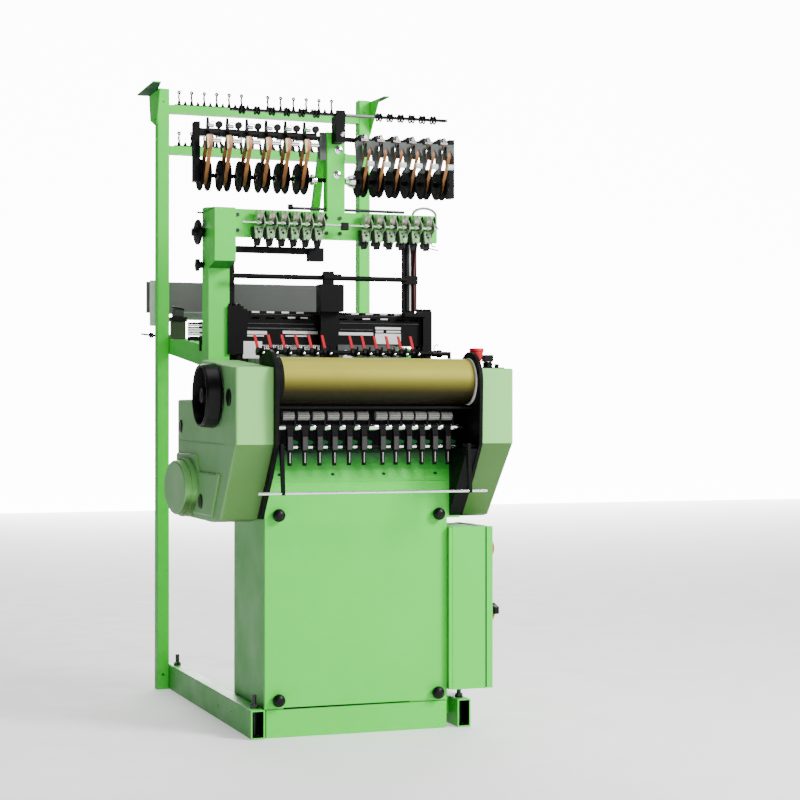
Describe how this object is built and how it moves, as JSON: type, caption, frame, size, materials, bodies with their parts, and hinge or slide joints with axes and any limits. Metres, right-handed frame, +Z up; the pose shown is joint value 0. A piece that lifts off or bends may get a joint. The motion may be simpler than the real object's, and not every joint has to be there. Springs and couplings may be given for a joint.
{
  "type": "needle loom",
  "caption": "Narrow-fabric needle loom weaving tapes side by side: take-off roller, heald frames, yarn feeders and rear creel posts on a green steel base.",
  "frame": {"origin": "centre of the footprint on the floor", "axes": "+X to the loom's right as its weaver faces it, +Y from the cloth side to the warp side, +Z up"},
  "size_m": [1.073, 1.586, 2.437],
  "materials": {
    "green_frame": "gloss",
    "green_cover": "gloss",
    "black_steel": "satin",
    "black_plastic": "moulded",
    "bright_steel": "polished",
    "steel": "ground",
    "zinc": "zinc plated",
    "gold_roller": "fine satin",
    "grey_sheet": "matt",
    "belt_rubber": "worn",
    "disc_rubber": "satin",
    "red_plastic": "gloss",
    "unit_green": "satin",
    "heald_black": "satin",
    "press_grey": "ribbed",
    "panel_green": "gloss",
    "disc_steel": "worn"
  },
  "bodies": {
    "frame": {"base_rail_left": "green_frame", "base_rail_right": "green_frame", "beam_bolts": "zinc", "breast_plate": "black_steel", "bright_rods": "bright_steel", "cabinet_body": "panel_green", "cabinet_plinth": "green_frame", "centre_support": "black_steel", "column_left": "green_frame", "control_box": "panel_green", "cover_switches": "black_plastic", "creel_crossbars": "green_frame", "creel_eyelets": "zinc", "creel_post_left": "green_frame", "creel_post_right": "green_frame", "feeder_beam": "green_frame", "feeder_belts": "belt_rubber", "feeder_frame": "black_steel", "feeder_hangers": "black_steel", "feeder_post": "green_frame", "front_panel": "panel_green", "hand_knobs": "black_plastic", "head_cover_left": "green_cover", "head_cover_right": "green_cover", "heald_guides": "black_steel", "levelling_bolts": "zinc", "lever_bar": "black_steel", "loom_bed": "green_frame", "panel_knobs": "black_plastic", "rod_arms_and_guide_bar": "black_steel", "side_plate_left": "black_steel", "side_plate_right": "black_steel", "support_post_right": "black_steel", "table_frame": "green_frame", "tension_units": "unit_green", "thread_guide_bar": "green_frame", "upper_arm": "black_steel", "warp_rods": "bright_steel", "warp_tray": "grey_sheet"},
    "door": {"control_box_door": "panel_green"},
    "lock_handle": {"door_lock": "black_plastic"},
    "door_button": {"door_stop_button": "red_plastic"},
    "stop_button": {"cover_stop_button": "red_plastic"},
    "take_off": {"take_off_roller": "gold_roller"},
    "handwheel": {"handwheel": "black_plastic"},
    "press_unit": {"press_arms": "black_steel"},
    "press_roller_set": {"press_rollers": "press_grey"},
    "sley": {"sley": "steel"},
    "feeder_rotor": {"feeder_discs": "disc_rubber"},
    "idler_set": {"feeder_idlers": "black_plastic"},
    "tension_disc_set": {"tension_discs": "disc_steel"},
    "feelers_left": {"levers_left": "red_plastic"},
    "feelers_right": {"levers_right": "red_plastic"},
    "column_wheel": {"column_wheel": "black_plastic"},
    "heald_1": {"heald_frame_1": "heald_black"},
    "heald_2": {"heald_frame_2": "heald_black"},
    "heald_3": {"heald_frame_3": "heald_black"},
    "heald_4": {"heald_frame_4": "heald_black"},
    "heald_5": {"heald_frame_5": "heald_black"},
    "heald_6": {"heald_frame_6": "heald_black"}
  },
  "joints": [
    {"name": "door_hinge", "type": "hinge", "parent": "frame", "child": "door", "pos_m": [0.5005, -0.364, 0.4], "axis": [0, 0, 1], "range_deg": [0, 110]},
    {"name": "lock_turn", "type": "hinge", "parent": "door", "child": "lock_handle", "pos_m": [0.5125, -0.577, 0.405], "axis": [1, 0, 0], "range_deg": [0, 90]},
    {"name": "door_button_press", "type": "slide", "parent": "door", "child": "door_button", "axis": [-1, 0, 0], "range_m": [0, 0.004], "stiffness_N_per_m": 800},
    {"name": "stop_press", "type": "slide", "parent": "frame", "child": "stop_button", "axis": [0, 0, -1], "range_m": [0, 0.004], "stiffness_N_per_m": 1200, "springref_m": -0.001},
    {"name": "take_off_turn", "type": "hinge", "parent": "frame", "child": "take_off", "pos_m": [0.0195, -0.682, 1.232], "axis": [1, 0, 0], "continuous": true},
    {"name": "handwheel_turn", "type": "hinge", "parent": "frame", "child": "handwheel", "pos_m": [-0.3805, -0.497, 1.182], "axis": [1, 0, 0], "continuous": true},
    {"name": "press_swing", "type": "hinge", "parent": "frame", "child": "press_unit", "pos_m": [0.0195, -0.667, 1.005], "axis": [1, 0, 0], "range_deg": [-6, 6]},
    {"name": "press_roller_turn", "type": "hinge", "parent": "press_unit", "child": "press_roller_set", "pos_m": [0.0195, -0.667, 1.111], "axis": [1, 0, 0], "continuous": true},
    {"name": "sley_swing", "type": "hinge", "parent": "frame", "child": "sley", "pos_m": [0.0195, -0.345, 1.045], "axis": [1, 0, 0], "range_deg": [-4, 9]},
    {"name": "heald_lift_1", "type": "slide", "parent": "frame", "child": "heald_1", "axis": [0, 0, 1], "range_m": [-0.03, 0.03]},
    {"name": "heald_lift_2", "type": "slide", "parent": "frame", "child": "heald_2", "axis": [0, 0, 1], "range_m": [-0.03, 0.03]},
    {"name": "heald_lift_3", "type": "slide", "parent": "frame", "child": "heald_3", "axis": [0, 0, 1], "range_m": [-0.03, 0.03]},
    {"name": "heald_lift_4", "type": "slide", "parent": "frame", "child": "heald_4", "axis": [0, 0, 1], "range_m": [-0.03, 0.03]},
    {"name": "heald_lift_5", "type": "slide", "parent": "frame", "child": "heald_5", "axis": [0, 0, 1], "range_m": [-0.03, 0.03]},
    {"name": "heald_lift_6", "type": "slide", "parent": "frame", "child": "heald_6", "axis": [0, 0, 1], "range_m": [-0.03, 0.03]},
    {"name": "feeder_turn", "type": "hinge", "parent": "frame", "child": "feeder_rotor", "pos_m": [0.0195, -0.257, 1.976], "axis": [1, 0, 0], "continuous": true},
    {"name": "idler_turn", "type": "hinge", "parent": "frame", "child": "idler_set", "pos_m": [0.0195, -0.332, 2.084], "axis": [1, 0, 0], "continuous": true},
    {"name": "tension_turn", "type": "hinge", "parent": "frame", "child": "tension_disc_set", "pos_m": [0.0195, -0.313, 1.829], "axis": [1, 0, 0], "continuous": true},
    {"name": "feeler_left_tip", "type": "hinge", "parent": "frame", "child": "feelers_left", "pos_m": [-0.1905, -0.502, 1.335], "axis": [1, 0, 0], "range_deg": [-25, 15]},
    {"name": "feeler_right_tip", "type": "hinge", "parent": "frame", "child": "feelers_right", "pos_m": [0.1495, -0.502, 1.335], "axis": [1, 0, 0], "range_deg": [-25, 15]},
    {"name": "column_wheel_turn", "type": "hinge", "parent": "frame", "child": "column_wheel", "pos_m": [-0.4505, -0.207, 1.775], "axis": [1, 0, 0], "continuous": true}
  ],
  "couplings": [
    {"joint": "idler_turn", "follows": "feeder_turn", "ratio": 1.1538}
  ]
}
